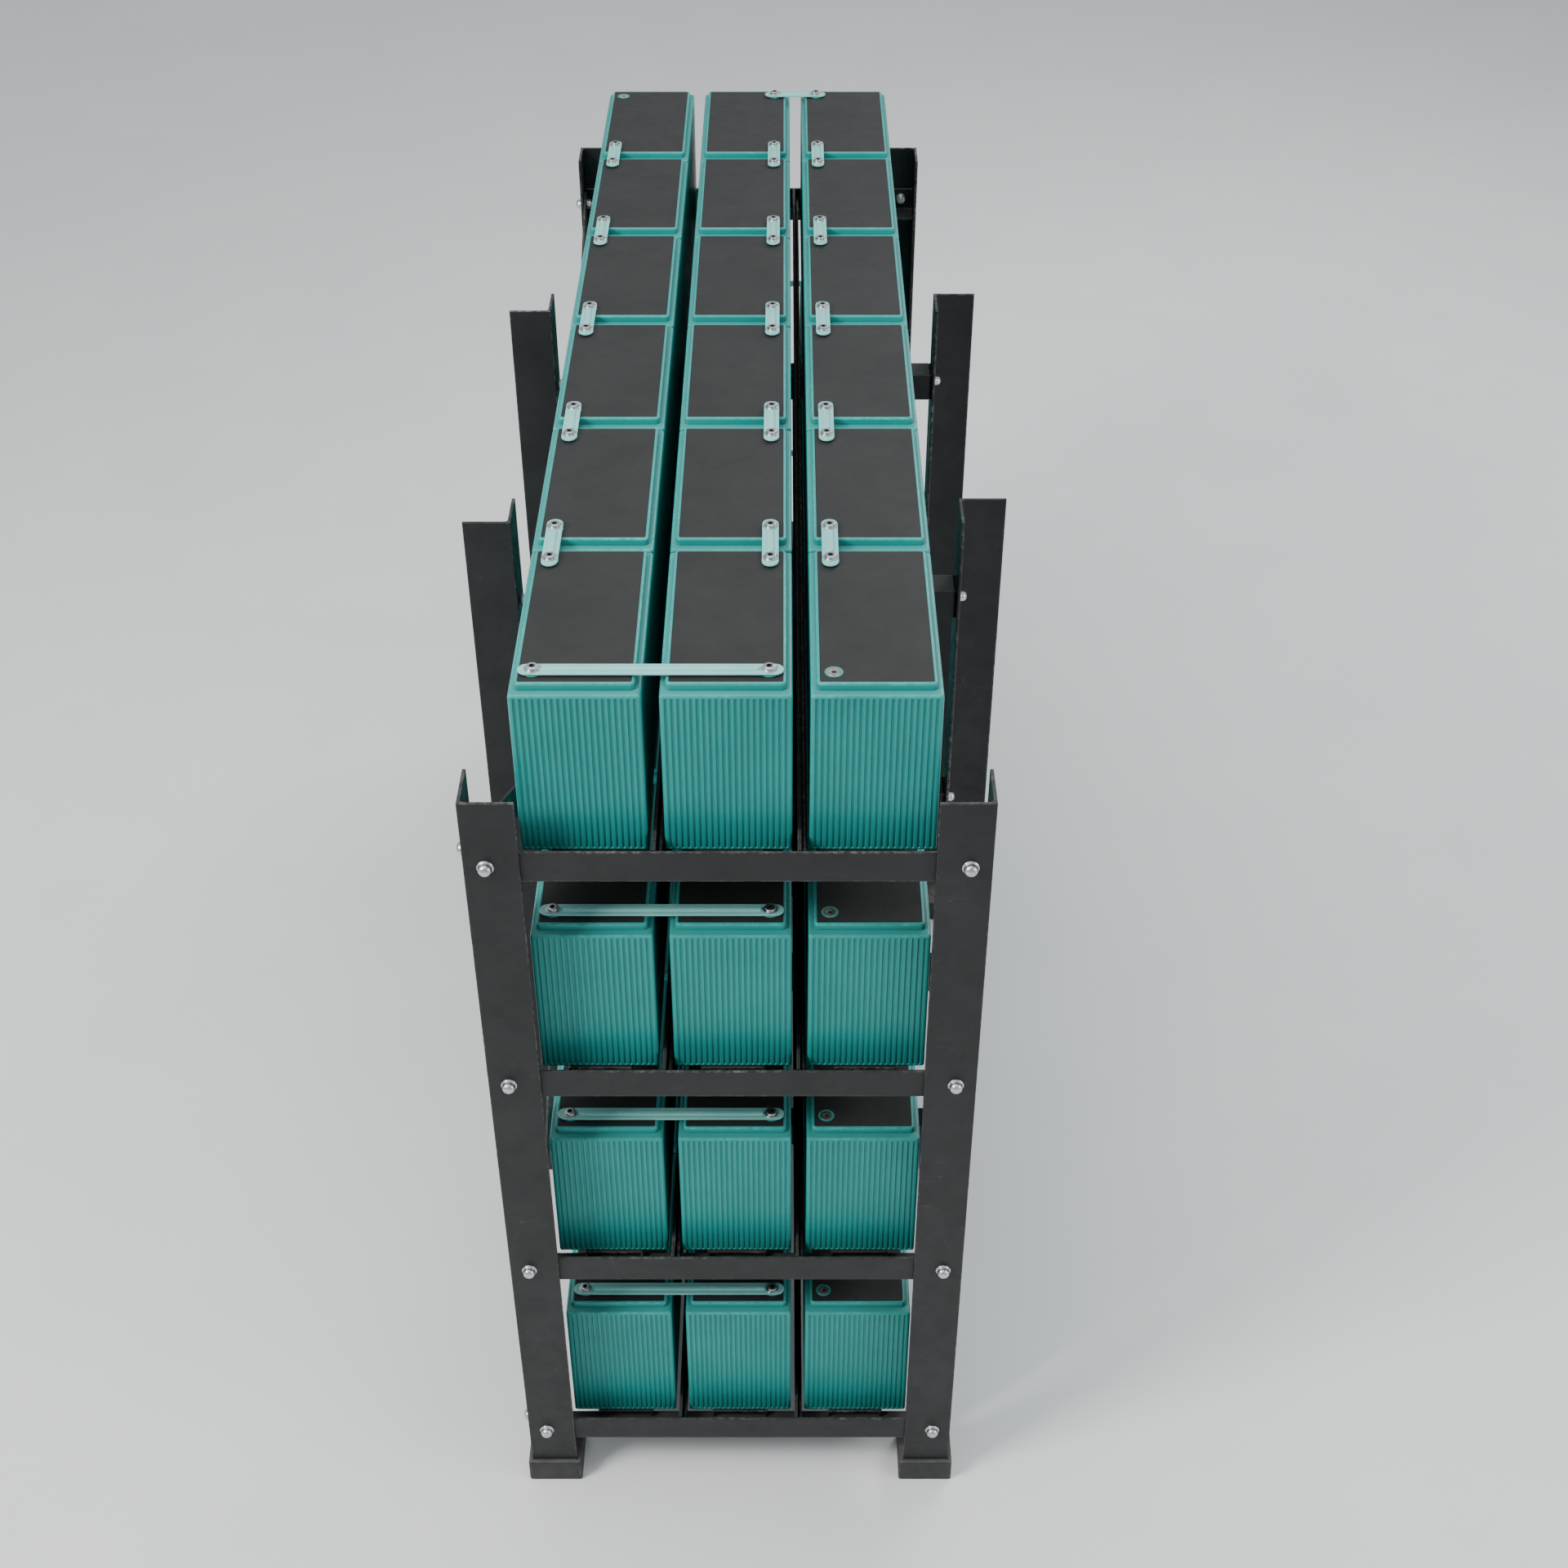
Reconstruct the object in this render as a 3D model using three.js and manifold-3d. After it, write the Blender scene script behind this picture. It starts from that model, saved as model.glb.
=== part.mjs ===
// Four-tier open steel rack that carries three columns of sealed block batteries, six deep, wired in series.
// Millimetres, +Z up. The origin is on the floor at the middle of the footprint; -Y is the front end.
import * as THREE from "three";
import Module from "manifold-3d";

// Rack
const RACK_LENGTH = 2204; // front face of the front posts to rear face of the rear posts
const CORNER_HALF_WIDTH = 350; // outer faces of the corner posts
const SIDE_PLANE = 348; // inner faces of the intermediate posts
const MID_POST_SETBACK = 697; // front post face to the first intermediate post
const POST_LEG = 75;
const POST_THICK = 5;
const POST_TOP = 1459;
const SHOE_HEIGHT = 48;
const SHOE_MARGIN = 7; // how far a shoe stands proud of its post
const GAP = 0.3; // clearance between two pieces that touch

// Tiers
const TIERS = 4;
const TOP = TIERS - 1;
const TIER_PITCH = 407.5;
const LIP_TOP = 150.6; // top of the lowest rail's upright leg
const ANGLE_LEG = 50;
const ANGLE_THICK = 5;
const RAIL_RIGHT_END = 344.7;
const RAIL_LEFT_END = -344.7;
const RAIL_NOTCH = -335; // the ledges by the brace ends stop here, to clear the bars
const BEARER_SETBACKS = [704.7, 1437.1];
const RUNNER_WIDTH = 92;
const RUNNER_HEIGHT = 15.1;
const RUNNER_THICK = 4;
const RUNNER_SETBACK = 43;
const DIVIDER_RISE = 45; // tall leg of a divider above the ledge
const DIVIDER_LOW_RISE = 24; // its low leg
const BOLT_X = 320.4;
const BOLT_DROP = 21; // rail bolt below the lip top
const BOLT_RADIUS = 11.8;
const BOLT_TALL = 13;
const NUT_TALL = 10;

// Brace bars on the left side
const BRACE_WIDTH = 50;
const BRACE_THICK = 4.5;
const BRACE_BOLT_SETBACK = 40;
const BRACE_BOLT_HIGH = 1352;
const BRACE_BOLT_LOW = 116.6;
const BRACED_SIDE_BOLT_DROP = 33; // bearer bolts below the ledge, clear of the bars
const BEARER_BOLT_DROP = 25; // the same on the other side

// Batteries
const ROWS = 6;
const COLUMNS = [-192.7, 0, 192.7];
const TERMINAL_SIDE = [-1, 1, -1]; // the side of each column that its terminals are on
const ROW_PITCH = 349;
const ROW_SETBACK = 45.6;
const CASE_WIDTH = 170;
const CASE_LENGTH = 345;
const CASE_HEIGHT = 253.8;
const CASE_LIFT = 15.7; // underside above the ledge
const EDGE = 4.3; // bevel along the top edges of the top tier's cases
const LID_INSET_X = 7.6;
const LID_INSET_Y = 12;
const LID_HEIGHT = 10.8;
const TERMINAL_X = 55; // from the middle of the battery
const TERMINAL_FRONT = 37.7; // front terminal, from the front face
const TERMINAL_REAR = 41; // rear terminal, from the rear face
const TERMINAL_RADIUS = 12;
const TERMINAL_HEIGHT = 2; // under a link
const FREE_TERMINAL_HEIGHT = 0.8; // at the free ends of a tier's string
const LINK_WIDTH = 23;
const LINK_THICK = 3;
const LINK_END = 19.5; // past the bolt centre
const HEAD_HEIGHT = 5.3;
const HEAD_RADIUS = 10.4;

const RACK_PAINT = new THREE.MeshStandardMaterial({ color: 0x15181a, roughness: 0.5, metalness: 0.3 });
const CASE_PLASTIC = new THREE.MeshStandardMaterial({ color: 0x1c9c9a, roughness: 0.45, metalness: 0 });
const LINK_METAL = new THREE.MeshStandardMaterial({ color: 0xa9d9d4, roughness: 0.35, metalness: 0.6 });

const wasm = await Module();
wasm.setup();
const group = new THREE.Group();
group.name = "battery_rack";

const HALF = RACK_LENGTH / 2;
const ledge = (tier) => LIP_TOP - ANGLE_LEG + ANGLE_THICK + tier * TIER_PITCH;

function toSolid(geometry) {
  const flat = geometry.index ? geometry.toNonIndexed() : geometry;
  const points = flat.getAttribute("position");
  const keys = new Map();
  const vertices = [];
  const triangles = [];
  for (let i = 0; i < points.count; i++) {
    const p = [points.getX(i), points.getY(i), points.getZ(i)];
    const key = p.map((c) => Math.round(c * 1e4)).join(",");
    if (!keys.has(key)) {
      keys.set(key, vertices.length / 3);
      vertices.push(...p);
    }
    triangles.push(keys.get(key));
  }
  const vertProperties = new Float32Array(vertices);
  const triVerts = new Uint32Array(triangles);
  return new wasm.Manifold(new wasm.Mesh({ numProp: 3, vertProperties, triVerts }));
}

function addPiece(name, solid, material) {
  const data = solid.getMesh();
  const stride = data.numProp;
  const points = new Float32Array(data.numVert * 3);
  for (let i = 0; i < data.numVert; i++) {
    points.set(data.vertProperties.subarray(i * stride, i * stride + 3), i * 3);
  }
  const geometry = new THREE.BufferGeometry();
  geometry.setAttribute("position", new THREE.BufferAttribute(points, 3));
  geometry.setIndex(new THREE.BufferAttribute(data.triVerts, 1));
  geometry.computeVertexNormals();
  const mesh = new THREE.Mesh(geometry, material);
  mesh.name = name;
  group.add(mesh);
}

function box(x0, x1, y0, y1, z0, z1) {
  const geometry = new THREE.BoxGeometry(x1 - x0, y1 - y0, z1 - z0);
  geometry.translate((x0 + x1) / 2, (y0 + y1) / 2, (z0 + z1) / 2);
  return toSolid(geometry);
}

// A disc or hexagon along Z.
function disc(x, y, z0, z1, radius, sides) {
  const geometry = new THREE.CylinderGeometry(radius, radius, z1 - z0, sides);
  geometry.rotateX(Math.PI / 2);
  geometry.translate(x, y, (z0 + z1) / 2);
  return toSolid(geometry);
}

// A disc along X or Y, from a to b on that axis.
function crossDisc(axis, a, b, x, y, z, radius, sides) {
  const geometry = new THREE.CylinderGeometry(radius, radius, Math.abs(b - a), sides);
  if (axis === "x") {
    geometry.rotateZ(Math.PI / 2);
    geometry.translate((a + b) / 2, y, z);
  } else {
    geometry.translate(x, (a + b) / 2, z);
  }
  return toSolid(geometry);
}

// A closed outline of [u, v] pairs, pushed from a to b along the named axis.
// u and v are x and z for y, y and z for x, and x and y for z.
function pushed(axis, outline, a, b) {
  const shape = new THREE.Shape(outline.map(([u, v]) => new THREE.Vector2(u, v)));
  const geometry = new THREE.ExtrudeGeometry(shape, { depth: b - a, bevelEnabled: false, curveSegments: 6 });
  if (axis === "y") {
    geometry.rotateX(Math.PI / 2);
    geometry.translate(0, b, 0);
  } else if (axis === "x") {
    const turn = new THREE.Matrix4();
    turn.makeBasis(new THREE.Vector3(0, 1, 0), new THREE.Vector3(0, 0, 1), new THREE.Vector3(1, 0, 0));
    geometry.applyMatrix4(turn);
    geometry.translate(a, 0, 0);
  } else {
    geometry.translate(0, 0, a);
  }
  return toSolid(geometry);
}

// Rectangles [x0, x1, y0, y1, z] stacked into one closed body.
function stack(rings) {
  const corners = [];
  for (const [x0, x1, y0, y1, z] of rings) {
    corners.push([x0, y0, z], [x1, y0, z], [x1, y1, z], [x0, y1, z]);
  }
  const faces = [[0, 3, 2, 1]];
  for (let r = 0; r + 1 < rings.length; r++) {
    for (let s = 0; s < 4; s++) {
      const next = (s + 1) % 4;
      faces.push([r * 4 + s, r * 4 + next, r * 4 + 4 + next, r * 4 + 4 + s]);
    }
  }
  const last = (rings.length - 1) * 4;
  faces.push([last, last + 1, last + 2, last + 3]);
  const points = [];
  for (const [a, b, c, d] of faces) {
    for (const i of [a, b, c, a, c, d]) {
      points.push(...corners[i]);
    }
  }
  const geometry = new THREE.BufferGeometry();
  geometry.setAttribute("position", new THREE.Float32BufferAttribute(points, 3));
  return toSolid(geometry);
}

// An equal-leg angle outline with its heel at (0, 0) and its legs along su * u and sv * v.
function angleOutline(u, v, su, sv, leg, thick) {
  const points = [[0, 0], [leg, 0], [leg, thick], [thick, thick], [thick, leg], [0, leg]];
  const placed = points.map(([a, b]) => [u + su * a, v + sv * b]);
  return su * sv > 0 ? placed : placed.reverse();
}

const join = (solids) => wasm.Manifold.union(solids);

// A flanged bolt head on a surface at a, standing off it towards direction d on the axis.
function head(axis, a, d, x, y, z) {
  return crossDisc(axis, a - d, a + d * BOLT_TALL, x, y, z, BOLT_RADIUS, 8);
}

// Posts, each welded to its shoe and carrying the bolt heads of its tiers
function cornerPost(name, side, end) {
  const x = side * CORNER_HALF_WIDTH;
  const y = end * HALF;
  const solids = [
    pushed("z", angleOutline(x, y, -side, -end, POST_LEG, POST_THICK), SHOE_HEIGHT - 1, POST_TOP),
    shoe(x, x - side * POST_LEG, y, y - end * POST_LEG),
  ];
  for (let tier = 0; tier < TIERS; tier++) {
    const z = LIP_TOP - BOLT_DROP + tier * TIER_PITCH;
    solids.push(head("y", y, end, side * BOLT_X, 0, z));
  }
  if (side < 0) {
    for (const z of [BRACE_BOLT_LOW, BRACE_BOLT_HIGH]) {
      solids.push(head("x", x, side, 0, y - end * BRACE_BOLT_SETBACK, z));
    }
  }
  addPiece(name, join(solids), RACK_PAINT);
}

function midPost(name, side, setback) {
  const x = side * SIDE_PLANE;
  const y0 = setback - HALF;
  const heel = side < 0 ? y0 : y0 + POST_LEG;
  const sv = side < 0 ? 1 : -1;
  const solids = [
    pushed("z", angleOutline(x, heel, side, sv, POST_LEG, POST_THICK), SHOE_HEIGHT - 1, POST_TOP),
    shoe(x, x + side * POST_LEG, y0, y0 + POST_LEG),
  ];
  for (let tier = 0; tier < TIERS; tier++) {
    const z = ledge(tier) - (side < 0 ? BRACED_SIDE_BOLT_DROP : BEARER_BOLT_DROP);
    solids.push(head("x", x + side * POST_THICK, side, 0, y0 + 35.6, z));
  }
  addPiece(name, join(solids), RACK_PAINT);
}

function shoe(xa, xb, ya, yb) {
  const [x0, x1] = [Math.min(xa, xb) - SHOE_MARGIN, Math.max(xa, xb) + SHOE_MARGIN];
  const [y0, y1] = [Math.min(ya, yb) - SHOE_MARGIN, Math.max(ya, yb) + SHOE_MARGIN];
  return box(x0, x1, y0, y1, 0, SHOE_HEIGHT);
}

// End rails: an upright lip behind the post webs and a ledge that carries the runners.
// The two divider sections are welded to the rear rail, and their front ends lie on the front one.
function endRail(name, end, tier) {
  const heel = end * (HALF - POST_THICK - GAP);
  const bottom = LIP_TOP - ANGLE_LEG + tier * TIER_PITCH;
  const outline = angleOutline(heel, bottom, -end, 1, ANGLE_LEG, ANGLE_THICK);
  const inner = heel - end * ANGLE_THICK;
  const solids = [pushed("x", outline, RAIL_NOTCH, RAIL_RIGHT_END)];
  const [near, far] = [Math.min(heel, inner), Math.max(heel, inner)];
  if (tier === 0 || tier === TOP) {
    solids.push(box(RAIL_LEFT_END, RAIL_NOTCH + 1, near, far, bottom, bottom + ANGLE_LEG));
  } else {
    solids.push(pushed("x", outline, RAIL_LEFT_END, RAIL_NOTCH + 1));
  }
  for (const x of [-BOLT_X, BOLT_X]) {
    const z = LIP_TOP - BOLT_DROP + tier * TIER_PITCH;
    solids.push(crossDisc("y", inner + end, inner - end * NUT_TALL, x, 0, z, 10, 6));
  }
  if (end > 0) {
    solids.push(...dividers(tier));
  }
  addPiece(name, join(solids), RACK_PAINT);
}

// A tall and a low leg stand between two columns of batteries; a weld foot ties the rear end to its ledge.
function dividers(tier) {
  const seat = ledge(tier) + GAP;
  const solids = [];
  for (const middle of [COLUMNS[0] / 2, COLUMNS[2] / 2]) {
    const outline = [
      [middle - 4.4, seat],
      [middle + 7.4, seat],
      [middle + 7.4, seat + DIVIDER_LOW_RISE],
      [middle + 3.1, seat + DIVIDER_LOW_RISE],
      [middle + 3.1, seat + 4],
      [middle + 0.6, seat + 4],
      [middle + 0.6, seat + DIVIDER_RISE],
      [middle - 4.4, seat + DIVIDER_RISE],
    ];
    solids.push(pushed("y", outline, 10.6 - HALF, HALF - 10.6));
    solids.push(box(middle - 4.4, middle + 7.4, HALF - 50, HALF - 20, seat - 1, seat + 1));
  }
  return solids;
}

// Each tier's tray: three channel runners welded across two bearers
function tray(name, tier) {
  const seat = ledge(tier) + GAP;
  const front = -HALF;
  const solids = [];
  for (const column of COLUMNS) {
    const half = RUNNER_WIDTH / 2;
    const top = seat + RUNNER_HEIGHT;
    const low = top - RUNNER_THICK;
    const outline = [
      [column - half, seat],
      [column - half + RUNNER_THICK, seat],
      [column - half + RUNNER_THICK, low],
      [column + half - RUNNER_THICK, low],
      [column + half - RUNNER_THICK, seat],
      [column + half, seat],
      [column + half, top],
      [column - half, top],
    ];
    solids.push(pushed("y", outline, front + RUNNER_SETBACK, HALF - RUNNER_SETBACK));
  }
  for (const setback of BEARER_SETBACKS) {
    const y = front + setback;
    const top = ledge(tier);
    const outline = angleOutline(y, top, 1, -1, ANGLE_LEG, ANGLE_THICK);
    const bolt = [y + 27.9, ledge(tier) - BRACED_SIDE_BOLT_DROP];
    solids.push(pushed("x", outline, -330.5, 343));
    for (const column of COLUMNS) {
      const [x0, x1] = [column - RUNNER_WIDTH / 2, column + RUNNER_WIDTH / 2];
      solids.push(box(x0, x1, y, y + ANGLE_LEG, top - 1, seat + 1));
    }
    solids.push(box(342.7, SIDE_PLANE - GAP, y, y + ANGLE_LEG, top - ANGLE_LEG, top));
    solids.push(box(-335, -330, y, y + ANGLE_LEG, top - ANGLE_LEG, top));
    solids.push(crossDisc("x", -SIDE_PLANE + GAP, -334, 0, ...bolt, 8, 6));
  }
  addPiece(name, join(solids), RACK_PAINT);
}

// Flat brace bars crossed on the inside of the left corner posts, with round ends and their nuts.
// The inner one stands off the posts on packers.
function brace(name, layer, rising) {
  const reach = HALF - BRACE_BOLT_SETBACK;
  const drop = (BRACE_BOLT_HIGH - BRACE_BOLT_LOW) / 2;
  const angle = Math.atan2(drop, reach) * (rising ? 1 : -1);
  const half = Math.hypot(drop, reach);
  const outline = [];
  for (const end of [1, -1]) {
    for (let i = 0; i <= 6; i++) {
      const turn = -Math.PI / 2 + (i * Math.PI) / 6;
      const along = half + (Math.cos(turn) * BRACE_WIDTH) / 2;
      outline.push([end * along, (end * Math.sin(turn) * BRACE_WIDTH) / 2]);
    }
  }
  const middle = (BRACE_BOLT_HIGH + BRACE_BOLT_LOW) / 2;
  const placed = outline.map(([u, v]) => [
    u * Math.cos(angle) - v * Math.sin(angle),
    middle + u * Math.sin(angle) + v * Math.cos(angle),
  ]);
  const outer = -CORNER_HALF_WIDTH + POST_THICK + GAP + layer * (BRACE_THICK + GAP);
  const solids = [pushed("x", placed, outer, outer + BRACE_THICK)];
  for (const end of [-1, 1]) {
    const face = outer + BRACE_THICK;
    const z = middle + end * Math.sign(angle) * drop;
    solids.push(crossDisc("x", face - 1, face + NUT_TALL, 0, end * reach, z, 10, 6));
    if (layer > 0) {
      solids.push(crossDisc("x", -CORNER_HALF_WIDTH + POST_THICK + GAP, outer + 1, 0, end * reach, z, 9, 8));
    }
  }
  addPiece(name, join(solids), RACK_PAINT);
}

// Where things are on one battery
const rowStart = (row) => -HALF + ROW_SETBACK + row * ROW_PITCH;
const caseBottom = (tier) => ledge(tier) + CASE_LIFT;
const lidTop = (tier) => caseBottom(tier) + CASE_HEIGHT + LID_HEIGHT;
const terminalX = (column) => COLUMNS[column] + TERMINAL_SIDE[column] * TERMINAL_X;
const terminalY = (row, end) => rowStart(row) + (end < 0 ? TERMINAL_FRONT : CASE_LENGTH - TERMINAL_REAR);

function caseBody(column, row, tier) {
  const x0 = COLUMNS[column] - CASE_WIDTH / 2;
  const x1 = x0 + CASE_WIDTH;
  const y0 = rowStart(row);
  const y1 = y0 + CASE_LENGTH;
  const z0 = caseBottom(tier);
  const z1 = z0 + CASE_HEIGHT;
  const z2 = lidTop(tier);
  const ring = (dx, dy, z) => [x0 + dx, x1 - dx, y0 + dy, y1 - dy, z];
  const edge = tier === TOP ? EDGE : 0;
  const rings = [ring(0, 0, z0), ring(0, 0, z1 - edge)];
  if (edge) {
    rings.push(ring(edge, edge, z1));
  }
  rings.push(ring(LID_INSET_X, LID_INSET_Y, z1));
  if (edge) {
    rings.push(ring(LID_INSET_X, LID_INSET_Y, z2 - edge));
  }
  rings.push(ring(LID_INSET_X + edge, LID_INSET_Y + edge, z2));
  return stack(rings);
}

function terminal(column, row, end, tier) {
  const z = lidTop(tier);
  const free = (column === 2 && row === 0 && end < 0) || (column === 0 && row === ROWS - 1 && end > 0);
  const height = free ? FREE_TERMINAL_HEIGHT : TERMINAL_HEIGHT;
  return disc(terminalX(column), terminalY(row, end), z - 1, z + height, TERMINAL_RADIUS, 12);
}

// A flat bar between two bolts, and a bolt head on each; the top tier's bars have cut corners
function linkBar(ax, ay, bx, by, z0, z1, sides, overshoot) {
  const length = Math.hypot(bx - ax, by - ay) / 2 + overshoot;
  const angle = Math.atan2(by - ay, bx - ax);
  const [mx, my] = [(ax + bx) / 2, (ay + by) / 2];
  const half = LINK_WIDTH / 2;
  const corner = 7;
  const square = [[length, -half], [length, half], [-length, half], [-length, -half]];
  const cut = [
    [length - corner, -half],
    [length, -half + corner],
    [length, half - corner],
    [length - corner, half],
    [-length + corner, half],
    [-length, half - corner],
    [-length, -half + corner],
    [-length + corner, -half],
  ];
  const placed = (sides > 6 ? cut : square).map(([u, v]) => [
    mx + u * Math.cos(angle) - v * Math.sin(angle),
    my + u * Math.sin(angle) + v * Math.cos(angle),
  ]);
  const solids = [pushed("z", placed, z0, z1)];
  for (const [x, y] of [[ax, ay], [bx, by]]) {
    solids.push(disc(x, y, z1 - 0.5, z1 + HEAD_HEIGHT, HEAD_RADIUS, sides));
  }
  return solids;
}

const linkBase = (tier) => lidTop(tier) + TERMINAL_HEIGHT + GAP;

function rowLink(column, row, tier, z0, sides) {
  const x = terminalX(column);
  const z1 = linkBase(tier) + LINK_THICK;
  return linkBar(x, terminalY(row, 1), x, terminalY(row + 1, -1), z0, z1, sides, LINK_END);
}

// Top tier: every battery on its own. A battery carries the link to the next one, but the two links at the
// free ends of the string are pieces of their own, because they swing away before a battery comes out.
const COLUMN_NAMES = ["left", "middle", "right"];
const isLoose = (column, row) => (column === 2 && row === 0) || (column === 0 && row === ROWS - 2);
for (let column = 0; column < 3; column++) {
  for (let row = 0; row < ROWS; row++) {
    const solids = [caseBody(column, row, TOP)];
    solids.push(terminal(column, row, -1, TOP));
    solids.push(terminal(column, row, 1, TOP));
    if (row < ROWS - 1 && !isLoose(column, row)) {
      solids.push(...rowLink(column, row, TOP, linkBase(TOP) - GAP, 8));
    }
    addPiece(`battery_t4_${COLUMN_NAMES[column]}_${row + 1}`, join(solids), CASE_PLASTIC);
  }
}
addPiece("link_t4_front_end", join(rowLink(2, 0, TOP, linkBase(TOP), 8)), LINK_METAL);
addPiece("link_t4_rear_end", join(rowLink(0, ROWS - 2, TOP, linkBase(TOP), 8)), LINK_METAL);

// Lower tiers: one bank for each column, its links standing straight on the lids
for (let tier = 0; tier < TOP; tier++) {
  for (let column = 0; column < 3; column++) {
    const solids = [];
    for (let row = 0; row < ROWS; row++) {
      solids.push(caseBody(column, row, tier));
      if (row < ROWS - 1) {
        solids.push(...rowLink(column, row, tier, lidTop(tier) - 0.5, 6));
      }
    }
    solids.push(terminal(column, 0, -1, tier));
    solids.push(terminal(column, ROWS - 1, 1, tier));
    addPiece(`bank_t${tier + 1}_${COLUMN_NAMES[column]}`, join(solids), CASE_PLASTIC);
  }
}

// Cross straps: left to middle at the front, middle to right at the rear
for (let tier = 0; tier < TIERS; tier++) {
  const z0 = linkBase(tier);
  const z1 = z0 + LINK_THICK;
  const front = terminalY(0, -1);
  const rear = terminalY(ROWS - 1, 1);
  const sides = tier === TOP ? 8 : 6;
  const crossing = (y, a, b) => join(linkBar(terminalX(a), y, terminalX(b), y, z0, z1, sides, 19));
  addPiece(`strap_t${tier + 1}_front`, crossing(front, 0, 1), LINK_METAL);
  addPiece(`strap_t${tier + 1}_rear`, crossing(rear, 1, 2), LINK_METAL);
}

const MID_REAR_SETBACK = RACK_LENGTH - MID_POST_SETBACK - POST_LEG;
for (const [name, side] of [["left", -1], ["right", 1]]) {
  cornerPost(`post_${name}_front`, side, -1);
  midPost(`post_${name}_second`, side, MID_POST_SETBACK);
  midPost(`post_${name}_third`, side, MID_REAR_SETBACK);
  cornerPost(`post_${name}_rear`, side, 1);
}
for (let tier = 0; tier < TIERS; tier++) {
  endRail(`rail_t${tier + 1}_front`, -1, tier);
  endRail(`rail_t${tier + 1}_rear`, 1, tier);
  tray(`tray_t${tier + 1}`, tier);
}
brace("brace_outer", 0, true);
brace("brace_inner", 1, false);

export default group;
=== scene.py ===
"""Looks for the battery rack: moulded cases with fluted ends, link bars, bolts, and powder-coated steel.
Lengths are millimetres in the constants, outlines and profiles, and become metres when a piece is made.
x runs from left to right, y from the front end to the rear, z up from the floor."""
import math
import bpy
import bmesh
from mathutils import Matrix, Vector


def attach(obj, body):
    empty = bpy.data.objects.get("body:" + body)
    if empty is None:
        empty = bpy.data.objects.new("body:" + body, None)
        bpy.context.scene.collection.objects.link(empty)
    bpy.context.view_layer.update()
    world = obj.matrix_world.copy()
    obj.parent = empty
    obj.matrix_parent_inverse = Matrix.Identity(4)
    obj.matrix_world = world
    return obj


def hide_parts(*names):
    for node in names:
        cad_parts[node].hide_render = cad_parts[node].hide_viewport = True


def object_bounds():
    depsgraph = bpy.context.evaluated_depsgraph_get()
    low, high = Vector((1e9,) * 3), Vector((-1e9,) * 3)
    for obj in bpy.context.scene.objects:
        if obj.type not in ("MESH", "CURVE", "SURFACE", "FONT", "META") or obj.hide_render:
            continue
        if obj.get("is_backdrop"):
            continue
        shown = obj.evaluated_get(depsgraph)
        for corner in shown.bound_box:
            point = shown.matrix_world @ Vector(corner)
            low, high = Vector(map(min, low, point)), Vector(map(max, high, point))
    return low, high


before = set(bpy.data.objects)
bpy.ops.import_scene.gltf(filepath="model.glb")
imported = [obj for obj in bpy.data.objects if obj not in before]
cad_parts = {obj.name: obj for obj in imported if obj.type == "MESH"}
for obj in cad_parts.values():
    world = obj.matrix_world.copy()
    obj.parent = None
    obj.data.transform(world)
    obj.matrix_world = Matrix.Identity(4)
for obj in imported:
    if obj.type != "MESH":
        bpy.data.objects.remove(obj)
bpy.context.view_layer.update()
scene = bpy.context.scene
MM = 0.001

# ---------------------------------------------------------------- camera
eye = bpy.data.cameras.new("eye")
eye.lens = 50
eye.sensor_width = 36
eye.clip_start = 0.05
eye.clip_end = 60
camera = bpy.data.objects.new("eye", eye)
scene.collection.objects.link(camera)
camera.location = (0.0739, -3.3005, 3.2052)
camera.rotation_euler = (math.radians(52.072), 0, 0)
scene.camera = camera

# ---------------------------------------------------------------- sizes, as in the CAD frame
GAP = 0.3  # between pieces that bear on each other
TIERS = 4
TOP = TIERS - 1
PITCH = 407.5  # from one tier to the next
HALF = 1102.0  # half the length over the corner posts
LEDGE = 105.6  # top of the lowest ledge

CASE_BOTTOM = 121.3
CASE_W, CASE_L, CASE_H = 170.0, 345.0, 253.8
CASE_CORNER = 4.0  # radius of the upright corners
CASE_ROOF = 4.3  # radius of the top edges
FIRST_CASE = 45.6  # from the front of the corner posts
CASE_STEP = 349.0
ROWS = 6
FLUTES, FLUTE_STEP, FLUTE_HALF, FLUTE_DEEP, FLUTE_END = 20, 8.1, 2.25, 2.3, 2.6
LID_H = 10.8
LID_INSET_X, LID_INSET_Y = 7.6, 12.0
LID_CORNER, LID_EDGE = 7.0, 3.7
# name, middle, and the side of the middle that the terminals are on
COLUMNS = (("left", -192.7, -1), ("middle", 0.0, 1), ("right", 192.7, -1))

TERMINAL_X = 55.0
TERMINAL_FRONT = 37.7  # front terminal from the front face
TERMINAL_REAR = 41.0  # rear terminal from the rear face
FREE_TERMINAL = 0.4  # height of a free terminal as a share of one under a link
LINK_Z = 2.3  # underside of a link above the lid
LINK_THICK = 3.0
LINK_HALF = 11.5  # half the width of a link
LINK_END, STRAP_END = 19.5, 19.0  # length past the bolt
BEAD_SHORT = 11.5  # the bead's ends, inside of the bolts

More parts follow.
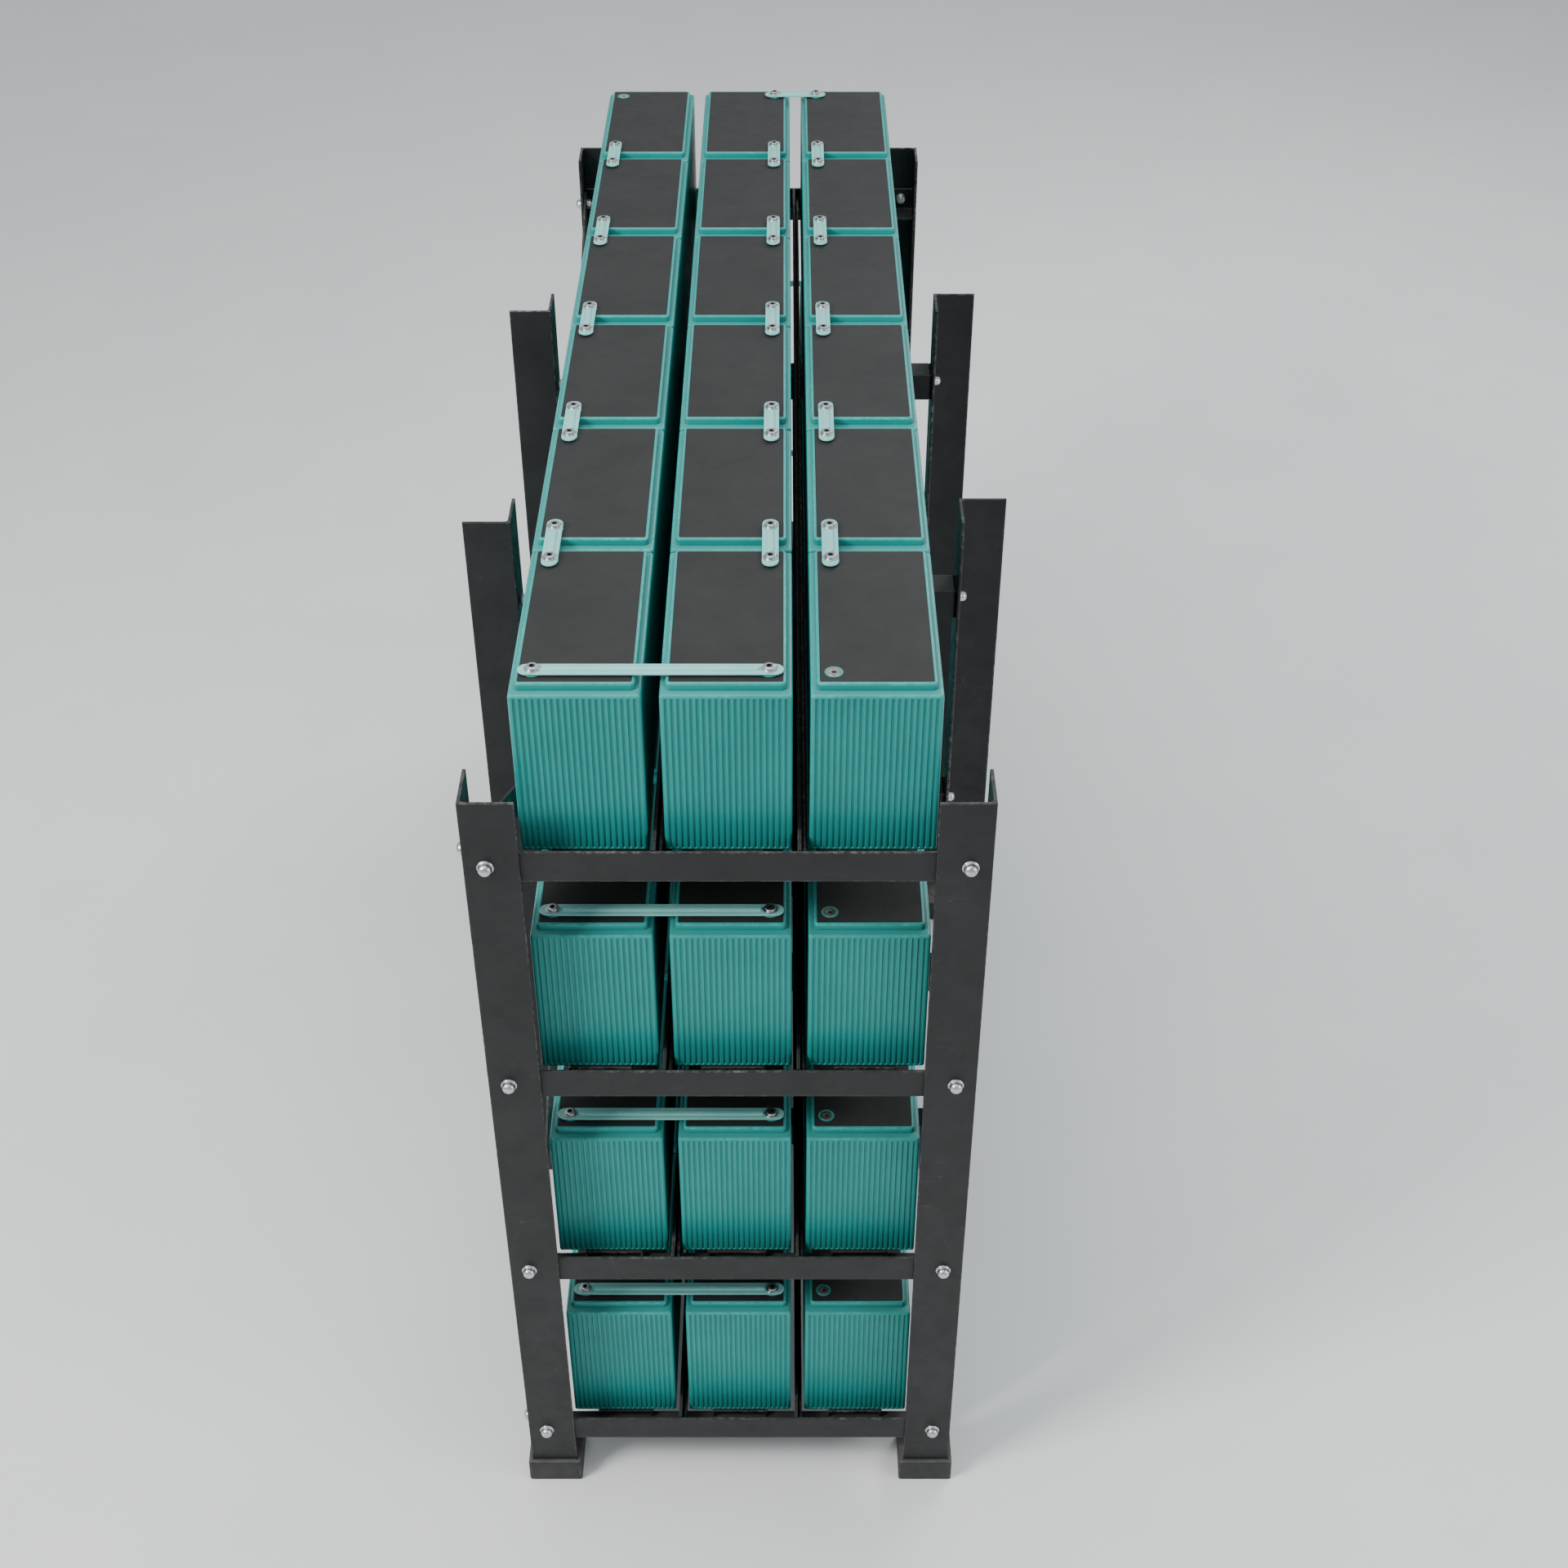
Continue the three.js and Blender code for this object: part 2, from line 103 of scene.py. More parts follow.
POST_LEG, RAIL_LEG, STEEL = 75.0, 50.0, 5.0
POST_BOTTOM, POST_TOP = 47.0, 1459.0
CORNER_X = 350.0  # outside of a corner post
MIDDLE_X = 348.0  # face of an intermediate post against its bearers
MIDDLE_POSTS = {"second": 697.0, "third": 1432.0}  # from the front of the corner posts
BEARERS = {"second": 704.7, "third": 1437.1}
BEARER_LEFT, BEARER_RIGHT = -330.5, 343.0
SPACER_LEFT, PLATE_RIGHT = -335.2, 347.7  # ends of the bearers' spacers and end plates
RAIL_LEFT, RAIL_NOTCH, RAIL_RIGHT = -344.7, -335.0, 344.7
RAIL_BOTTOM = 100.6
BOLT_X = 320.4
BOLT_Z = 129.6
BOLT_TALL = 13.0
NUT_TALL = 10.0
BEARER_BOLT_DROP = {-1: 33.0, 1: 25.0}  # below the ledge, by side
BEARER_BOLT_POST, BEARER_BOLT_LEG = 35.6, 27.9  # from the edge of the post and the heel of the bearer
BRACE_LOW, BRACE_HIGH = 116.6, 1352.0
BRACE_Y = HALF - 40.0
BRACE_HALF, BRACE_THICK = 25.0, 4.5
BRACE_LAYER = BRACE_THICK + GAP
SHOE_RIM = 7.0
SHOE_CORNER = 4.0
RUNNER_HALF, RUNNER_H, RUNNER_STEEL, RUNNER_SHORT = 46.0, 15.1, 4.0, 43.0
DIVIDERS = (("left", -96.35), ("right", 96.35))
DIVIDER_SHORT = 10.6


def row_start(row):
    return -HALF + FIRST_CASE + CASE_STEP * row


def terminal_rows(row):
    """Where the front and rear terminals of a row are along the rack."""
    return row_start(row) + TERMINAL_FRONT, row_start(row) + CASE_L - TERMINAL_REAR


def lid_top(tier):
    return CASE_BOTTOM + CASE_H + LID_H + PITCH * tier


# ---------------------------------------------------------------- materials
DUST = (0.42, 0.40, 0.37)
COPY_SHIFT = (3.1, 7.7, 5.3)  # metres between the textures of two copies, at most
BROAD_SHARE = 0.75  # of the tone, the rest being fine mottle
SCRATCH_WAYS = ((1.0, 26.0, 3.0), (30.0, 1.4, 4.0), (5.0, 9.0, 40.0))


class Nodes:
    """Short hand for wiring one material."""

    def __init__(self, name):
        self.mat = bpy.data.materials.new(name)
        self.mat.use_nodes = True
        self.tree = self.mat.node_tree
        self.tree.nodes.clear()
        out = self.new("ShaderNodeOutputMaterial")
        self.bsdf = self.new("ShaderNodeBsdfPrincipled")
        self.link(self.bsdf.outputs[0], out.inputs[0])

    def new(self, kind, **values):
        node = self.tree.nodes.new(kind)
        for key, value in values.items():
            setattr(node, key, value)
        return node

    def link(self, a, b):
        self.tree.links.new(a, b)

    def put(self, socket, value):
        if isinstance(value, (int, float, tuple)):
            socket.default_value = value
        else:
            self.link(value, socket)

    def place(self):
        """Coordinates in the piece's own space, shifted by a fixed amount for each piece so that copies differ."""
        coords = self.new("ShaderNodeTexCoord")
        info = self.new("ShaderNodeObjectInfo")
        shift = self.new("ShaderNodeVectorMath", operation="SCALE")
        shift.inputs[0].default_value = COPY_SHIFT
        self.link(info.outputs["Random"], shift.inputs["Scale"])
        add = self.new("ShaderNodeVectorMath", operation="ADD")
        self.link(coords.outputs["Object"], add.inputs[0])
        self.link(shift.outputs[0], add.inputs[1])
        return add.outputs[0]

    def noise(self, where, scale, detail=2.0, rough=0.5, stretch=None):
        if stretch:
            mul = self.new("ShaderNodeVectorMath", operation="MULTIPLY")
            self.link(where, mul.inputs[0])
            mul.inputs[1].default_value = stretch
            where = mul.outputs[0]
        node = self.new("ShaderNodeTexNoise")
        self.link(where, node.inputs["Vector"])
        node.inputs["Scale"].default_value = scale
        node.inputs["Detail"].default_value = detail
        node.inputs["Roughness"].default_value = rough
        return node.outputs["Fac"]

    def ramp(self, value, a, b, low=0.0, high=1.0):
        """value from a to b becomes low to high, clamped."""
        node = self.new("ShaderNodeMapRange")
        node.clamp = True
        self.put(node.inputs["Value"], value)
        node.inputs["From Min"].default_value = a
        node.inputs["From Max"].default_value = b
        node.inputs["To Min"].default_value = low
        node.inputs["To Max"].default_value = high
        return node.outputs[0]

    def math(self, op, a, b=0.0):
        node = self.new("ShaderNodeMath", operation=op)
        self.put(node.inputs[0], a)
        self.put(node.inputs[1], b)
        return node.outputs[0]

    def mix(self, fac, a, b):
        node = self.new("ShaderNodeMix", data_type="RGBA")
        self.put(node.inputs[0], fac)
        for socket, value in ((node.inputs[6], a), (node.inputs[7], b)):
            self.put(socket, value if not isinstance(value, tuple) else (*value, 1.0))
        return node.outputs[2]

    def attribute(self, name):
        node = self.new("ShaderNodeAttribute")
        node.attribute_name = name
        return node.outputs["Fac"]

    def facing_up(self):
        geo = self.new("ShaderNodeNewGeometry")
        split = self.new("ShaderNodeSeparateXYZ")
        self.link(geo.outputs["Normal"], split.inputs[0])
        return split.outputs["Z"]


def make_material(
    name, dark, light, rough, metal=0.0, grain=(900.0, 0.1, 0.0002), worn=None, worn_at=0.5,
    dust=0.3, blotch=9.0, scratch=0.0, scratch_colour=None, shine=0.5,
):
    """Mottled colour between dark and light, edge wear, fine scratches, dust on upward faces, and a grain.

    rough is the range of roughness; grain is the scale, strength and depth in metres of the bump.
    """
    n = Nodes(name)
    where = n.place()
    broad = n.noise(where, blotch, 3.0, 0.55)
    fine = n.noise(where, 420.0, 2.0, 0.6)
    tone = n.math("ADD", n.math("MULTIPLY", broad, BROAD_SHARE), n.math("MULTIPLY", fine, 1 - BROAD_SHARE))
    colour = n.mix(n.ramp(tone, 0.32, 0.68), dark, light)
    roughness = n.ramp(n.noise(where, 38.0, 4.0, 0.6), 0.3, 0.7, *rough)
    if worn:
        patch = n.ramp(n.noise(where, 110.0, 6.0, 0.75), worn_at, worn_at + 0.2)
        patch = n.math("MULTIPLY", patch, n.ramp(n.noise(where, 5.0, 3.0, 0.6), 0.40, 0.62, 0.15, 1.0))
        edge = n.math("MULTIPLY", n.ramp(n.attribute("wear"), 0.6, 1.0), patch)
        colour = n.mix(edge, colour, worn)
        roughness = n.math("SUBTRACT", roughness, n.math("MULTIPLY", edge, 0.12))
    if scratch:
        lines = None
        for stretch in SCRATCH_WAYS:
            value = n.noise(where, 6.0, 2.0, 0.5, stretch)
            near = n.math("ABSOLUTE", n.math("SUBTRACT", value, 0.5))
            line = n.ramp(near, 0.0, 0.004, 1.0, 0.0)
            lines = line if lines is None else n.math("MAXIMUM", lines, line)
        gate = n.ramp(n.noise(where, 14.0, 2.0), 0.56, 0.66)
        lines = n.math("MULTIPLY", n.math("MULTIPLY", lines, gate), scratch)
        colour = n.mix(lines, colour, scratch_colour)
    if dust:
        top = n.ramp(n.facing_up(), 0.55, 0.98)
        film = n.ramp(n.noise(where, 16.0, 6.0, 0.7), 0.34, 0.74, 0.6, 1.0)
        specks = n.ramp(n.noise(where, 900.0, 1.0), 0.66, 0.74)
        cover = n.math("ADD", n.math("MULTIPLY", film, dust), n.math("MULTIPLY", specks, dust * 0.9))
        cover = n.math("MULTIPLY", cover, top)
        colour = n.mix(cover, colour, DUST)
        roughness = n.math("ADD", roughness, n.math("MULTIPLY", cover, 0.3))
    n.link(colour, n.bsdf.inputs["Base Color"])
    n.link(roughness, n.bsdf.inputs["Roughness"])
    n.bsdf.inputs["Metallic"].default_value = metal
    n.bsdf.inputs["Specular IOR Level"].default_value = shine
    bump = n.new("ShaderNodeBump")
    bump.inputs["Strength"].default_value = grain[1]
    bump.inputs["Distance"].default_value = grain[2]
    n.link(n.noise(where, grain[0], 3.0, 0.6), bump.inputs["Height"])
    n.link(bump.outputs[0], n.bsdf.inputs["Normal"])
    return n.mat


PAINT = make_material(
    "black_powder_coat", (0.005, 0.0055, 0.006), (0.012, 0.013, 0.014), (0.38, 0.54),
    grain=(520.0, 0.55, 0.0004), worn=(0.16, 0.16, 0.16), worn_at=0.46, dust=0.06,
    scratch=0.35, scratch_colour=(0.07, 0.07, 0.07), shine=0.35,
)
CASE = make_material(
    "turquoise_case_plastic", (0.004, 0.222, 0.206), (0.007, 0.262, 0.243), (0.34, 0.46),
    grain=(1300.0, 0.35, 0.0002), worn=(0.04, 0.40, 0.37), worn_at=0.40, dust=0.07, shine=0.42,
)
LID_TOP = make_material(
    "black_lid_plastic", (0.004, 0.005, 0.0055), (0.010, 0.0115, 0.012), (0.46, 0.64),
    grain=(1500.0, 0.6, 0.0003), dust=0.035, scratch=0.4, scratch_colour=(0.045, 0.05, 0.05), blotch=6.0, shine=0.35,
)
COAT = make_material(
    "pale_turquoise_link_coat", (0.17, 0.52, 0.49), (0.24, 0.62, 0.58), (0.26, 0.42),
    grain=(700.0, 0.25, 0.0002), worn=(0.60, 0.70, 0.66), worn_at=0.52, dust=0.08,
)
ZINC = make_material(
    "zinc_plated_steel", (0.42, 0.45, 0.46), (0.62, 0.64, 0.64), (0.24, 0.42), metal=1.0,
    grain=(2200.0, 0.3, 0.0001), worn=(0.75, 0.76, 0.76), worn_at=0.40, dust=0.05, blotch=120.0,
)
TIN = make_material(
    "tinned_brass_terminal", (0.46, 0.44, 0.38), (0.62, 0.61, 0.56), (0.26, 0.44), metal=1.0,
    grain=(1800.0, 0.3, 0.0001), worn=(0.78, 0.76, 0.70), worn_at=0.40, dust=0.04, blotch=160.0,
)
# near-black for the insides of holes and hex sockets: painted shade, not the metal's own colour
PAINTED_SHADE = make_material(
    "painted_shade_socket", (0.004, 0.004, 0.004), (0.010, 0.010, 0.010), (0.55, 0.75),
    grain=(900.0, 0.2, 0.0001), dust=0.0,
)
SHOE = make_material(
    "black_moulded_shoe", (0.011, 0.012, 0.012), (0.024, 0.025, 0.026), (0.55, 0.72),
    grain=(1100.0, 0.7, 0.0004), worn=(0.10, 0.10, 0.10), worn_at=0.46, dust=0.16,
)


# ---------------------------------------------------------------- building pieces
SUPPORT = 2.5  # width of the worn strip beside a rounded corner
END_WEAR = 3.0  # length of the worn strip at a cut end
SHARP, CASE_SHARP = 38, 50  # degrees above which an edge is shaded sharp
HEEL, LEG_TIP, TOE, POST_ROOT, RAIL_ROOT = 0.9, 0.7, 1.6, 5.0, 4.5  # radii of rolled angles


class Skin:
    """Vertices in mm and faces of one piece; wear is 1 along edges that rub and 0 elsewhere."""

    def __init__(self):
        self.points, self.wear, self.faces, self.slots = [], [], [], []

    def ring(self, points, wear):
        first = len(self.points)
        self.points += [tuple(p) for p in points]
        self.wear += list(wear) if isinstance(wear, (list, tuple)) else [wear] * len(points)
        return range(first, first + len(points))

    def loft(self, rings, slots=None):
        """A closed skin over rings of (points, wear), all of one length.

        slots gives the material of the first cap, each band and the last cap.
        """
        made = [self.ring(*r) for r in rings]
        slots = slots or [0] * (len(made) + 1)
        self.faces.append(tuple(reversed(made[0])))
        self.slots.append(slots[0])
        for k in range(len(made) - 1):
            a, b, count = made[k], made[k + 1], len(made[k])
            for i in range(count):
                j = (i + 1) % count
                self.faces.append((a[i], a[j], b[j], b[i]))
                self.slots.append(slots[k + 1])
        self.faces.append(tuple(made[-1]))
        self.slots.append(slots[-1])

    def mesh(self, name, materials, origin=(0, 0, 0), sharp=SHARP):
        data = bpy.data.meshes.new(name)
        o = Vector(origin)
        data.from_pydata([(Vector(p) - o) * MM for p in self.points], [], self.faces)
        for m in materials:
            data.materials.append(m)
        data.polygons.foreach_set("material_index", self.slots)
        layer = data.attributes.new("wear", "FLOAT", "POINT")
        layer.data.foreach_set("value", self.wear)
        bm = bmesh.new()
        bm.from_mesh(data)
        bmesh.ops.dissolve_degenerate(bm, dist=1e-7, edges=bm.edges)
        bmesh.ops.recalc_face_normals(bm, faces=bm.faces)
        bm.to_mesh(data)
        bm.free()
        data.shade_smooth()
        data.set_sharp_from_angle(angle=math.radians(sharp))
        data.update()
        return data

    def piece(self, name, materials, body="rack", slot="rack_paint", replaces=()):
        """Makes the piece, with its origin in the middle of its box."""
        low = [min(p[i] for p in self.points) for i in range(3)]
        high = [max(p[i] for p in self.points) for i in range(3)]
        origin = [(a + b) / 2 for a, b in zip(low, high)]
        put(name, self.mesh(name, materials, origin), origin, body, replaces)


def put(name, data, origin, body, replaces=()):
    """Places a mesh, rides it on its body, and hides the CAD nodes it stands for."""
    made = bpy.data.objects.new(name, data)
    scene.collection.objects.link(made)
    made.location = Vector(origin) * MM
    bpy.context.view_layer.update()
    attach(made, body)
    if replaces:
        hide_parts(*replaces)


def turning(outline):
    """1 for an outline that runs anticlockwise, and -1 for a clockwise one."""
    area = sum(p[0] * q[1] - q[0] * p[1] for p, q in zip(outline, outline[1:] + outline[:1]))
    return 1 if area > 0 else -1


def rounded(corners, radii, steps=3, support=SUPPORT):
    """A closed outline (u, v, wear) with its corners rounded.

    Corners that stick out wear; a plain point beside each keeps the wear narrow.
    """
    count = len(corners)
    way = turning(corners)
    out = []
    for i, (c, r) in enumerate(zip(corners, radii)):
        p, q, c = Vector(corners[i - 1]), Vector(corners[(i + 1) % count]), Vector(c)
        a, b = (p - c), (q - c)
        la, lb = a.length, b.length
        a.normalize()
        b.normalize()
        turn = (-a).x * b.y - (-a).y * b.x
        wear = 1.0 if turn * way > 0 else 0.0
        half = math.acos(max(-1, min(1, a.dot(b)))) / 2
        reach = r / math.tan(half)
        if wear and reach + support < la * 0.45:
            out.append((*(c + a * (reach + support)), 0.0))
        start, end = c + a * reach, c + b * reach
        middle = c + (a + b).normalized() * (r / math.sin(half))
        s, e = start - middle, end - middle
        for k in range(steps + 1):
            t = k / steps
            v = s.lerp(e, t)
            v = v.normalized() * r if v.length > 1e-9 else v
            out.append((*(middle + v), wear))
        if wear and reach + support < lb * 0.45:
            out.append((*(c + b * (reach + support)), 0.0))
    return out


def shrunk(outline, by):
    """The outline moved inwards by a small amount."""
    count = len(outline)
    side = turning(outline)
    out = []
    for i, (u, v, w) in enumerate(outline):
        p, q = outline[i - 1], outline[(i + 1) % count]
        t1 = Vector((u - p[0], v - p[1])).normalized()
        t2 = Vector((q[0] - u, q[1] - v)).normalized()
        t = (t1 + t2).normalized()
        lean = max(0.5, t.dot(t1))
        out.append((u - side * t.y * by / lean, v + side * t.x * by / lean, w))
    return out


def bar(skin, axis, outline, a, b, bevel=0.5):
    """Pushes an outline from a to b. u and v are y and z for x, x and z for y, and x and y for z."""
    place = {"x": lambda u, v, w: (w, u, v), "y": lambda u, v, w: (u, w, v), "z": lambda u, v, w: (u, v, w)}[axis]
    small = shrunk(outline, bevel)
    rings = []
    for at, shape, end in (
        (a, small, 1.0), (a + bevel, outline, 1.0), (a + bevel + END_WEAR, outline, 0.0),
        (b - bevel - END_WEAR, outline, 0.0), (b - bevel, outline, 1.0), (b, small, 1.0),
    ):
        rings.append(([place(u, v, at) for u, v, w in shape], [max(w, end) for u, v, w in shape]))
    skin.loft(rings)


def angle_outline(u, v, su, sv, leg, root):
    """Equal-leg rolled angle with its heel at (u, v) and its legs towards su and sv."""
    corners = [(0, 0), (leg, 0), (leg, STEEL), (STEEL, STEEL), (STEEL, leg), (0, leg)]
    placed = [(u + su * a, v + sv * b) for a, b in corners]
    radii = [HEEL, LEG_TIP, TOE, root, TOE, LEG_TIP]
    if su * sv < 0:
        placed.reverse()
        radii.reverse()
    return rounded(placed, radii)


def turned(skin, centre, axis, profile, sides=28, slots=None):
    """A turned piece: profile entries are (radius, height, wear), or (half width, height, wear, "hex")."""
    c = Vector(centre)
    up = Vector(axis)
    side = Vector((0, 0, 1)) if abs(up.z) < 0.5 else Vector((1, 0, 0))
    other = up.cross(side)
    rings = []
    for entry in profile:
        r, h, wear = entry[:3]
        points = []
        for k in range(sides):
            t = 2 * math.pi * k / sides
            reach = r
            if len(entry) > 3:
                reach = r / math.cos((t + math.pi / 6) % (math.pi / 3) - math.pi / 6)
            points.append(c + up * h + (side * math.cos(t) + other * math.sin(t)) * reach)
        rings.append((points, wear))
    skin.loft(rings, slots)


# ---------------------------------------------------------------- batteries
def case_ring(z, inset, open_):
    """One level of a container: rounded corners, and upright flutes in each end wall, open_ from 0 to 1."""
    half_w, half_l = CASE_W / 2, CASE_L / 2
    r = max(CASE_CORNER - inset, 0.6)
    points, wear = [], []

    def wall(sign):
        y = sign * (half_l - inset)
        order = range(FLUTES) if sign < 0 else range(FLUTES - 1, -1, -1)
        squeeze = (half_w - inset - r) / (half_w - CASE_CORNER)
        for k in order:
            for u, deep in ((-1, 0), (-0.72, 0.70), (0, 1), (0.72, 0.70), (1, 0)):
                u = u if sign < 0 else -u
                x = ((k - (FLUTES - 1) / 2) * FLUTE_STEP + u * FLUTE_HALF * max(open_, 0.04)) * squeeze
                points.append((x, y - sign * FLUTE_DEEP * deep * open_, z))
                wear.append(0.0)

    def arc(sx, sy, start):
        cx, cy = sx * (half_w - inset - r), sy * (half_l - inset - r)
        for k in range(5):
            t = math.radians(start + 22.5 * k)
            points.append((cx + r * math.cos(t), cy + r * math.sin(t), z))
            wear.append(1.0)

    def flat(sx):
        x = sx * (half_w - inset)
        for y in (-half_l + 9, 0, half_l - 9) if sx > 0 else (half_l - 9, 0, -half_l + 9):
            points.append((x, y, z))
            wear.append(0.0)

    wall(-1)
    arc(1, -1, 270)
    flat(1)
    arc(1, 1, 0)
    wall(1)
    arc(-1, 1, 90)
    flat(-1)
    arc(-1, -1, 180)
    return points, wear


def battery_mesh():
    """The moulded container and its lid, with the origin under the middle of the case."""
    skin = Skin()
    # height, inset, how open the flutes are, and wear
    rings = [(0.0, 3.0, 0.0, 0.7), (0.9, 0.9, 0.0, 1.0), (3.0, 0.0, 0.0, 0.3)]
    low, high = 3.4, CASE_H - CASE_ROOF
    for t in (20, 45, 70, 90):
        rings.append((low + FLUTE_END * (1 - math.cos(math.radians(t))), 0.0, math.sin(math.radians(t)), 0.0))
    for t in (90, 70, 45, 20):
        rings.append((high - FLUTE_END * (1 - math.cos(math.radians(t))), 0.0, math.sin(math.radians(t)), 0.0))
    for t in (0, 30, 60, 90):
        s, c = math.sin(math.radians(t)), math.cos(math.radians(t))
        rings.append((high + CASE_ROOF * s, CASE_ROOF * (1 - c), 0.0, 0.25 if t in (0, 90) else 1.0))
    loft = []
    for z, inset, open_, edge in rings:
        points, wear = case_ring(z, inset, open_)
        loft.append((points, [max(w * 0.7, edge) for w in wear]))
    skin.loft(loft)

    half_w, half_l = CASE_W / 2 - LID_INSET_X, CASE_L / 2 - LID_INSET_Y

    def lid_ring(z, inset, wear):
        r = max(LID_CORNER - inset, 1.2)
        points = []
        for sx, sy, start in ((1, -1, 270), (1, 1, 0), (-1, 1, 90), (-1, -1, 180)):
            cx, cy = sx * (half_w - inset - r), sy * (half_l - inset - r)
            for k in range(7):
                t = math.radians(start + 15 * k)
                points.append((cx + r * math.cos(t), cy + r * math.sin(t), z))
        return points, wear

    z, top = CASE_H, CASE_H + LID_H
    # height, inset and wear: a thin seam over the case, the wall, the rounded edge, and the black top's groove
    levels = [(z - 0.4, 0.7, 0.0), (z + 0.55, 0.7, 0.0), (z + 0.75, 0.0, 0.1), (top - LID_EDGE, 0.0, 0.2)]
    for t in (22, 45, 68, 90):
        s, c = math.sin(math.radians(t)), math.cos(math.radians(t))
        levels.append((top - LID_EDGE + LID_EDGE * s, LID_EDGE * (1 - c), 0.2 if t == 90 else 1.0))
    levels += [(top, 4.3, 0.0), (top - 0.45, 4.5, 0.0), (top - 0.45, 5.0, 0.0), (top - 0.05, 5.25, 0.0)]
    bands = [0] * (len(levels) - 2) + [1, 1, 1]
    skin.loft([lid_ring(*level) for level in levels], bands)
    return skin.mesh("battery_case", [CASE, LID_TOP], sharp=CASE_SHARP)


def terminal(skin, x, y, z, k):
    """A moulded boss with a tinned insert and its threaded hole, k times the full height.

    Slots are boss, metal, and near-black painted shade on the floor of the hole.
    """
    turned(
        skin, (x, y, z), (0, 0, 1),
        [(12.0, -0.4, 0.2), (12.0, 0.9 * k, 0.4), (11.5, 1.3 * k, 1.0), (9.4, 1.35 * k, 0.3), (9.2, 1.0 * k, 0.0),
         (9.0, 1.9 * k, 0.8), (8.7, 2.0 * k, 0.6), (4.0, 2.0 * k, 0.2), (3.5, 1.6 * k, 0.8), (3.3, 0.1 * k, 0.0)],
        sides=32, slots=[0, 0, 0, 0, 0, 1, 1, 1, 1, 1, 2],
    )


LIFTED = {"t4_right_1": "front_battery", "t4_left_6": "rear_battery"}
FREE_ENDS = (("right", 0), ("left", ROWS - 1))  # batteries whose front or rear terminal has no link
case_mesh = battery_mesh()
for tier in range(TIERS):
    for name, cx, side in COLUMNS:
        posts = Skin()
        for row in range(ROWS):
            full = f"t{tier + 1}_{name}_{row + 1}"
            body = LIFTED.get(full, "rack")
            middle = row_start(row) + CASE_L / 2
            stands = ()
            if tier == TOP:
                stands = (f"battery_{full}",)
            elif row == 0:
                stands = (f"bank_t{tier + 1}_{name}",)
            place = (cx, middle, CASE_BOTTOM + PITCH * tier)
            put(f"case_{full}", case_mesh, place, body, stands)
            skin = Skin() if body != "rack" else posts
            for y, free in zip(terminal_rows(row), FREE_ENDS):
                k = FREE_TERMINAL if (name, row) == free else 1.0
                terminal(skin, cx + side * TERMINAL_X, y, lid_top(tier), k)
            if body != "rack":
                skin.piece(f"terminals_{full}", [CASE, TIN, PAINTED_SHADE], body, "link_metal")
        posts.piece(f"terminals_t{tier + 1}_{name}", [CASE, TIN, PAINTED_SHADE], "rack", "link_metal")


# ---------------------------------------------------------------- links
def link_bar(skin, ax, ay, bx, by, z, past):
    """A coated flat bar with round ends and a raised bead between its two bolts."""
    length = math.hypot(bx - ax, by - ay)
    ux, uy = (bx - ax) / length, (by - ay) / length
    mx, my = (ax + bx) / 2, (ay + by) / 2

    def at(u, v, w):
        return (mx + ux * u - uy * v, my + uy * u + ux * v, w)

    def capsule(reach, half, w, wear, steps=8):
        r = min(half, reach)
        points = []
        for sign, start in ((1, -90), (-1, 90)):
            for k in range(steps + 1):
                t = math.radians(start + 180 * k / steps)
                points.append(at(sign * (reach - r) + r * math.cos(t), r * math.sin(t), w))
        return points, wear

    reach = length / 2 + past
    # inset, height and wear of the bar's levels
    levels = (
        (0.7, 0.0, 0.6), (0.0, 0.7, 1.0), (0.0, 2.2, 0.8), (0.3, 2.75, 1.0),
        (0.9, LINK_THICK, 0.7), (3.4, LINK_THICK, 0.0),
    )
    skin.loft([capsule(reach - inset, LINK_HALF - inset, z + up, wear) for inset, up, wear in levels])
    bead = length / 2 - BEAD_SHORT
    # how much shorter, half width, height and wear of the bead's levels
    levels = (
        (0.0, 5.2, 2.8, 0.0), (0.0, 5.0, 3.2, 0.0), (0.6, 4.3, 4.6, 0.5), (1.6, 3.0, 5.5, 1.0), (3.0, 1.4, 5.8, 1.0),
    )
    skin.loft([capsule(bead - less, half, z + up, wear, 6) for less, half, up, wear in levels])


def link_bolt(skin, x, y, z):
    """A washer and a low-headed screw with a hex socket; the socket's walls and floor are painted near-black as
    shade.
    """
    turned(
        skin, (x, y, z), (0, 0, 1),
        [(10.2, 0.0, 0.3), (10.65, 0.3, 1.0), (10.65, 0.95, 1.0), (10.3, 1.25, 1.0), (8.3, 1.3, 0.0), (7.7, 1.4, 0.0),
         (7.8, 1.8, 0.2), (7.8, 4.1, 0.4), (7.5, 4.85, 1.0), (6.7, 5.3, 1.0), (4.3, 5.3, 0.3),
         (3.45, 5.2, 0.7, "hex"), (3.35, 2.6, 0.0, "hex")],
        sides=24, slots=[0] * 12 + [1, 1],
    )


